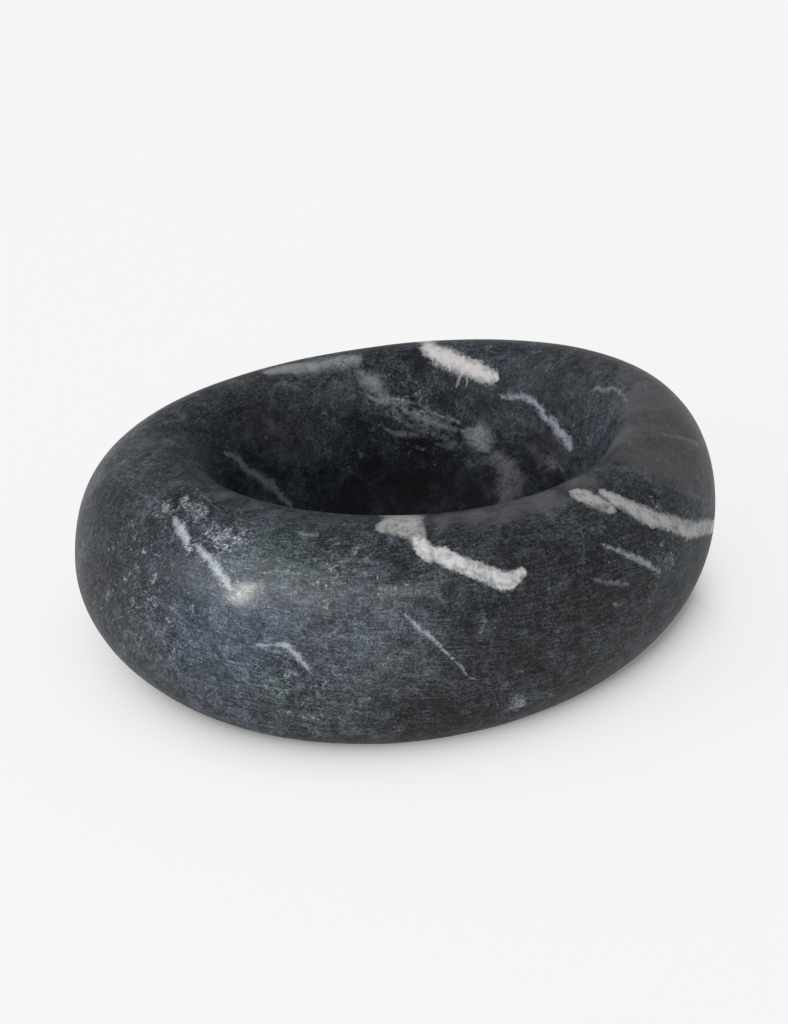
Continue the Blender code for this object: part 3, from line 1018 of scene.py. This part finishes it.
def ground(shade, place, along, outside, walls):
    """The colour of the stone between the veins, and its grain and mottle."""
    cloud = {kind: value_of(shade, "cloud_" + kind) for kind in drawn_clouds}
    broad = noise(shade, place, BROAD_SIZE, 4, 0.6, 0.6)
    patch = noise(shade, place, PATCH_SIZE, 4, 0.62, 0.9)
    mottle = noise(shade, place, MOTTLE_SIZE, 3, 0.65, 0.8)
    crinkle = 0.32 - noise(shade, place, CRINKLE_SIZE, 2, 0.6, 1.2).size()
    grain = noise(shade, place, GRAIN_SIZE, 2, 0.7, 0.8)
    level_grain = streaks(shade, along, *LEVEL_GRAIN, 2, 0.7)
    steep_grain = streaks(shade, along, *STEEP_GRAIN, 2, 0.5)
    which = (cloud["steep"] + patch * 0.35 + broad * 0.2).step(0.30, 0.62)
    flow = (steep_grain * which + level_grain * (1 - which)) * walls
    # Dust and painted sheen hide the grain, and the grain is weaker in the hollow, most of all where
    # its colour is darkened as painted shade.
    dusty = (cloud["dusty"] + patch * 0.2 + mottle * 0.12).step(0.25, 0.95)
    inside_contrast = (1 - outside) * (0.85 - cloud["dark"] * 0.60)
    contrast = (1 - dusty * 0.45) * (outside + inside_contrast) * (cloud["fibrous"] * 0.6 + 1)
    # Outside the hollow the ground is lifted a little as painted sheen, which leaves the hollow darker. Pale
    # and dark clouds lift and lower it, partly as painted light and painted shade.
    lift = outside * 0.018 + 0.41 + broad * 0.08 + patch * 0.17
    lift = lift + cloud["pale"] * 0.17 - cloud["dark"] * 0.24 - cloud["fibrous"] * 0.14
    lift = lift + (mottle * 0.15 + crinkle * 0.14 + grain * 0.37 + flow * 0.20) * contrast
    tone = lift.node("ShaderNodeValToRGB", {"stops": GROUND_TONES}, {"Fac": lift})
    green = (cloud["green"] + patch * 0.25 + mottle * 0.12 - 0.18).step(0.0, 0.75)
    tone = tone.times(green.between(PLAIN_TINT, GREEN_TINT))
    for kind, tint in (("neutral", NEUTRAL_TINT), ("blue", BLUE_TINT)):
        near = (cloud[kind] + patch * 0.12 - 0.06).step(0.0, 0.8)
        tone = tone.times(near.between(PLAIN_TINT, tint))
    # Where a broad noise passes zero, its size makes a long thin line, which the grain breaks up.
    thread = (0.10 - noise(shade, place, THREAD_SIZE, 5, 0.62, 1.1).size()).step(-0.02, 0.10)
    threaded = thread * (patch + broad * 0.8 + 0.15).step(0.0, 0.6) * (0.50 - cloud["dark"] * 0.40)
    tone = (threaded * (crinkle + grain * 0.6 + 0.6).step(0.0, 1.0)).between(tone, FILAMENT)
    # A flat grey laid over it: partly dust, partly painted sheen on the rim.
    tone = (dusty * 0.54).between(tone, DUST_AND_SHEEN)
    wisp = 0.22 - noise(shade, place, WISP_SIZE, 4, 0.62, 2.0).size()
    smoky = (cloud["smoke"] + wisp * 1.3 + patch * 0.30 + mottle * 0.25 + grain * 0.08).step(0.35, 1.35)
    tone = (smoky * 0.85).between(tone, SMOKE_COLOUR)
    return tone, grain, mottle


# %% [markdown]
# ## Fibres and sanding marks
#
# Thin pale fibres lie in the stone in bundles, and the hand pad has left fine scratches that mostly run
# round the bowl. Both are noise drawn out along the direction map: long and very narrow, cut off sharply so
# that only the crests of the noise show, and masked by a slower noise so that they come in patches.

# %% Fibres and sanding marks
FIBRE = (0.56, 0.59, 0.66, 1)
# Their slant in degrees, their length and their width.
UPRIGHT_FIBRES, LEANING_FIBRES = (64, 0.0028, 0.00090), (-38, 0.0026, 0.00085)
LEVEL_SCRATCHES, SLANTED_SCRATCHES = (5, 0.014, 0.00070), (31, 0.011, 0.00065)
CURL_SIZE, BUNDLE_SIZE, FIBRE_PATCH_SIZE = 0.0026, 0.0046, 0.009
SCRATCH_PATCH_SIZE, SCRATCH_FADE_SIZE = 0.022, 0.009


def fibres(shade, along, place):
    """Short bright fibres in bundles."""
    density = value_of(shade, "cloud_fibrous")
    upright = streaks(shade, along, *UPRIGHT_FIBRES, 2, 1.2).step(0.05, 0.45)
    leaning = streaks(shade, along, *LEANING_FIBRES, 2, 1.2).step(0.10, 0.50)
    curled = (0.10 - noise(shade, place, CURL_SIZE, 2, 0.6, 2.4).size()).step(-0.04, 0.08)
    which = noise(shade, place, FIBRE_PATCH_SIZE, 1).step(-0.2, 0.2)
    bundle = noise(shade, place, BUNDLE_SIZE, 3, 0.65, 0.8)
    shown = (bundle * 1.3 + density * 1.45 - 0.62).step(0.0, 0.8)
    straight = upright * which + leaning * (1 - which)
    return straight.most(curled * 0.6) * shown * (density * 0.35 + 0.58)


def sanding(shade, along, place):
    """Fine scratches, most of them round the bowl."""
    level = streaks(shade, along, *LEVEL_SCRATCHES, 1, 0.2).step(0.30, 0.85)
    slant = streaks(shade, along, *SLANTED_SCRATCHES, 1, 0.2).step(0.35, 0.9)
    patches = noise(shade, place, SCRATCH_PATCH_SIZE, 2).step(-0.35, 0.45)
    faint = noise(shade, place, SCRATCH_FADE_SIZE, 2).step(-0.5, 0.6)
    return (level * patches + slant * (1 - patches) * 0.7) * faint


# %% [markdown]
# ## The veins' colour
#
# A vein is crisp where calcite filled a clean crack and cloudy where it seeped into the stone. Its tone
# picks both: the white end of the ramp is solid with a ragged edge, and towards the grey end the vein
# breaks up into single crystals. A hairline breaks up along its length as well. Inside, the crystals are
# blotched with grey, as calcite lets the dark stone shine through.

# %% The veins' colour
VEIN_TONES = [
    (CALCITE, (0.860, 0.860, 0.865, 1)),
    (GREY_CALCITE, (0.430, 0.436, 0.430, 1)),
    (WARM_CALCITE, (0.880, 0.845, 0.845, 1)),
    (BLUE_CALCITE, (0.740, 0.795, 0.900, 1)),
    (LILAC, (0.540, 0.548, 0.640, 1)),
    (SMOKE, (0.340, 0.365, 0.405, 1)),
    (UMBER, (0.270, 0.262, 0.272, 1)),
]
BLOTCH_TINT = (0.32, 0.34, 0.36, 1)
# The sizes of the noises that bend a vein, notch its edge, grain it and blotch it, in metres.
BEND_SIZE, NOTCH_SIZE, CRYSTAL_SIZE, BLOTCH_SIZE = 0.0085, 0.0030, 0.0016, 0.0050


def veins(shade, place, ground_tone, stored):
    """Lays the stored veins over the ground. Returns the colour and how much of it is vein.

    Distances across a vein are in millimetres here.
    """
    bend = noise(shade, place, BEND_SIZE, 2, 0.5)
    notch = noise(shade, place, NOTCH_SIZE, 3, 0.6, 0.5)
    crystals = noise(shade, place, CRYSTAL_SIZE, 3, 0.7, 0.8)
    blotch = noise(shade, place, BLOTCH_SIZE, 3, 0.6, 0.5)
    tone, cover = ground_tone, None
    for name in stored:
        across, half, kind, strength = four_of(shade, name)
        # How deep inside the vein a place is, after its line is bent and its edge notched.
        shift = bend * (half * (kind * 0.25 + 0.17) + 0.10) + notch * (half * 0.13 + 0.12)
        depth = half - (across + shift).size() + notch * (kind * 0.5 + 0.25)
        soft = half.most(0) * (kind * 0.75 + 0.14) + 0.30
        ragged = crystals * 1.25 + notch * kind * 1.1
        solid = (depth + ragged * soft).step(-1 * soft, soft * 1.2)
        # Gaps between the crystals, more of them in a loose vein, and breaks along a thin one.
        gaps = (crystals * 0.9 + notch * 0.45 + blotch * 0.35 + 0.42).step(0.0, 0.85)
        loose = (kind * 1.1 + 0.08).least(0.58)
        broken = (1 - (blotch * 0.9 + notch * 0.6 + 0.18).step(-0.35, 0.45)) * (1 - half.step(0.3, 1.8))
        mask = solid * strength * (1 - (1 - gaps) * loose) * (1 - broken * 0.85)
        colour = kind.node("ShaderNodeValToRGB", {"stops": VEIN_TONES}, {"Fac": kind})
        stain = blotch * 1.35 + notch * 0.8 + crystals * (kind * 1.6 + 0.8) - depth * (kind * 0.30 + 0.12)
        stained = (stain + 0.55).step(-0.9, 1.9)
        tone = mask.between(tone, colour.times(stained.between(PLAIN_TINT, BLOTCH_TINT)))
        cover = mask if cover is None else cover.most(mask)
    return tone, cover


# %% [markdown]
# ## The marble's finish
#
# The stone was honed to a satin and then waxed, so light is scattered broadly by the stone and mirrored a
# little by the wax. The shader's base is rough, and a thin, smoother coat gives the glint. The coat is left
# out in the hollow, where the hand pad doesn't reach well, and is weaker on scratches. A fine bump from the
# grain and the scratches breaks up the glint.

# %% The marble's finish
COAT_ROUGHNESS = 0.175
GLOSS_LEVEL = 0.18
BUMP_STRENGTH, BUMP_DEPTH = 0.6, 0.001
SCRATCH_WHITENESS = 0.13
# Places along the section on the direction map, in metres: where the foot's flat ends, where the rim turns
# into the hollow, and where the hollow's wall turns into its floor.
FOOT_START, FOOT_END = 0.035, 0.052
HOLLOW_START, HOLLOW_END = 0.178, 0.200
FLOOR_START, FLOOR_END = 0.262, 0.272


def make_marble(stored):
    """The stone's material, from the ground and the veins to the finish."""
    material, shader, shade = make_material("honed veined marble")
    place = shade.node("ShaderNodeTexCoord", out="Object")
    along = shade.node("ShaderNodeUVMap", {"uv_map": "directions"})
    up_section = shade.node("ShaderNodeSeparateXYZ", None, {"Vector": along}, out="Y")
    outside = 1 - up_section.step(HOLLOW_START, HOLLOW_END)
    walls = up_section.step(FOOT_START, FOOT_END) * (1 - up_section.step(FLOOR_START, FLOOR_END))
    tone, grain, mottle = ground(shade, place, along, outside, walls)
    threads = fibres(shade, along, place) * walls
    scratches = sanding(shade, along, place) * walls
    tone = threads.between(tone, FIBRE)
    tone = (scratches * SCRATCH_WHITENESS * outside).between(tone, FIBRE)
    tone, cover = veins(shade, place, tone, stored)
    rough = 0.66 - outside * 0.12 + mottle * 0.04 + grain * 0.05 + scratches * 0.06 - cover * 0.03
    polish = outside * (0.33 + grain * 0.14 + mottle * 0.08 - scratches * 0.12)
    height = grain * 0.010 + mottle * 0.014 - scratches * 0.012 + cover * 0.03
    sockets = {"Strength": BUMP_STRENGTH, "Distance": BUMP_DEPTH, "Height": height}
    bump = shade.node("ShaderNodeBump", None, sockets)
    links = shade.tree.links
    links.new(tone.socket, shader.inputs["Base Color"])
    links.new(rough.socket, shader.inputs["Roughness"])
    links.new(polish.socket, shader.inputs["Coat Weight"])
    links.new(bump.socket, shader.inputs["Normal"])
    shader.inputs["Coat Roughness"].default_value = COAT_ROUGHNESS
    shader.inputs["Specular IOR Level"].default_value = GLOSS_LEVEL
    return material


marble = make_marble(vein_sets)
stone.data.materials.clear()
stone.data.materials.append(marble)
print("nodes in the marble:", len(marble.node_tree.nodes))

# %% [markdown]
# ## Felt pads
#
# Four felt discs keep the stone off the table top. Each is punched from pressed wool felt, so its edge is a
# little rounded and its surface is uneven with loose fibres. A pad starts as a cylinder in its node's box.
# Its edge is bevelled, a fine remesh gives it even faces, and a small displacement raises the nap. The
# weight of the stone presses it flat, so its points stay inside the height of its node.

# %% Felt pads
PAD_SIDES = 64
PAD_EDGE, PAD_EDGE_SEGMENTS = 0.00035, 3
FELT_VOXEL = 0.0004
NAP_SIZE, NAP_HEIGHT = 0.0011, 0.00018
FELT_TONES = [
    (0.25, (0.011, 0.011, 0.012, 1)),
    (0.55, (0.024, 0.024, 0.026, 1)),
    (0.85, (0.060, 0.060, 0.064, 1)),
]
# The wool's fibres: the turns in degrees of three sets, a tilt in radians, and length, width and height.
WOOL_TURNS = (12, 71, 134)
WOOL_TILT = (0.6, 0.3)
WOOL_LENGTH, WOOL_WIDTH, WOOL_HEIGHT = 0.0022, 0.00025, 0.0006
CLUMP_SIZE = 0.0018
FELT_BUMP_STRENGTH, FELT_BUMP_DEPTH = 0.8, 0.0002
FELT_ROUGHNESS, FELT_SHEEN = 0.95, 0.25


def make_felt():
    """The pads' material: a tangle of fibres, and clumps of them."""
    material, shader, shade = make_material("charcoal wool felt")
    place = shade.node("ShaderNodeTexCoord", out="Object")
    scale = (1 / WOOL_LENGTH, 1 / WOOL_WIDTH, 1 / WOOL_HEIGHT)
    fibre_sets = []
    for degrees in WOOL_TURNS:
        turn = (*WOOL_TILT, math.radians(degrees))
        turned = shade.node("ShaderNodeMapping", None, {"Vector": place, "Rotation": turn})
        drawn = shade.node("ShaderNodeMapping", None, {"Vector": turned, "Scale": scale})
        fibre_sets.append(noise(shade, drawn, 1.0, 2, 0.5, 0.8))
    tangle = fibre_sets[0] + fibre_sets[1] + fibre_sets[2]
    clumps = noise(shade, place, CLUMP_SIZE, 3)
    level = tangle * 0.14 + clumps * 0.12 + 0.5
    tone = level.node("ShaderNodeValToRGB", {"stops": FELT_TONES}, {"Fac": level})
    sockets = {"Strength": FELT_BUMP_STRENGTH, "Distance": FELT_BUMP_DEPTH, "Height": level}
    bump = shade.node("ShaderNodeBump", None, sockets)
    shade.tree.links.new(tone.socket, shader.inputs["Base Color"])
    shade.tree.links.new(bump.socket, shader.inputs["Normal"])
    shader.inputs["Roughness"].default_value = FELT_ROUGHNESS
    shader.inputs["Sheen Weight"].default_value = FELT_SHEEN
    return material


def make_pad(node_name, felt, nap):
    """The felt disc of a node, pressed flat between the stone and the table."""
    low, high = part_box(node_name)
    bpy.ops.object.select_all(action="DESELECT")
    bpy.ops.mesh.primitive_cylinder_add(
        vertices=PAD_SIDES,
        radius=(high.x - low.x) / 2 - NAP_HEIGHT / 2,
        depth=high.z - low.z,
        location=(low + high) / 2,
    )
    pad = bpy.context.object
    pad.name = node_name.replace("felt_pad", "felt_disc")
    only_select(pad)
    bpy.ops.object.transform_apply(location=True, rotation=True, scale=True)
    apply_modifier(pad, "BEVEL", width=PAD_EDGE, segments=PAD_EDGE_SEGMENTS)
    apply_modifier(pad, "REMESH", mode="VOXEL", voxel_size=FELT_VOXEL)
    apply_modifier(pad, "DISPLACE", texture=nap, texture_coords="LOCAL", strength=NAP_HEIGHT, mid_level=0.5)
    for vertex in pad.data.vertices:
        vertex.co.z = min(max(vertex.co.z, low.z), high.z)
    only_select(pad)
    bpy.ops.object.shade_smooth()
    pad.data.materials.append(felt)
    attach(pad, "root")
    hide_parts(node_name)
    return pad


felt = make_felt()
nap = bpy.data.textures.new("felt_nap", "CLOUDS")
nap.noise_scale = NAP_SIZE
for node_name in sorted(frame["nodes"]):
    if node_name.startswith("felt_pad"):
        pad = make_pad(node_name, felt, nap)
        print(pad.name, len(pad.data.polygons), "faces")
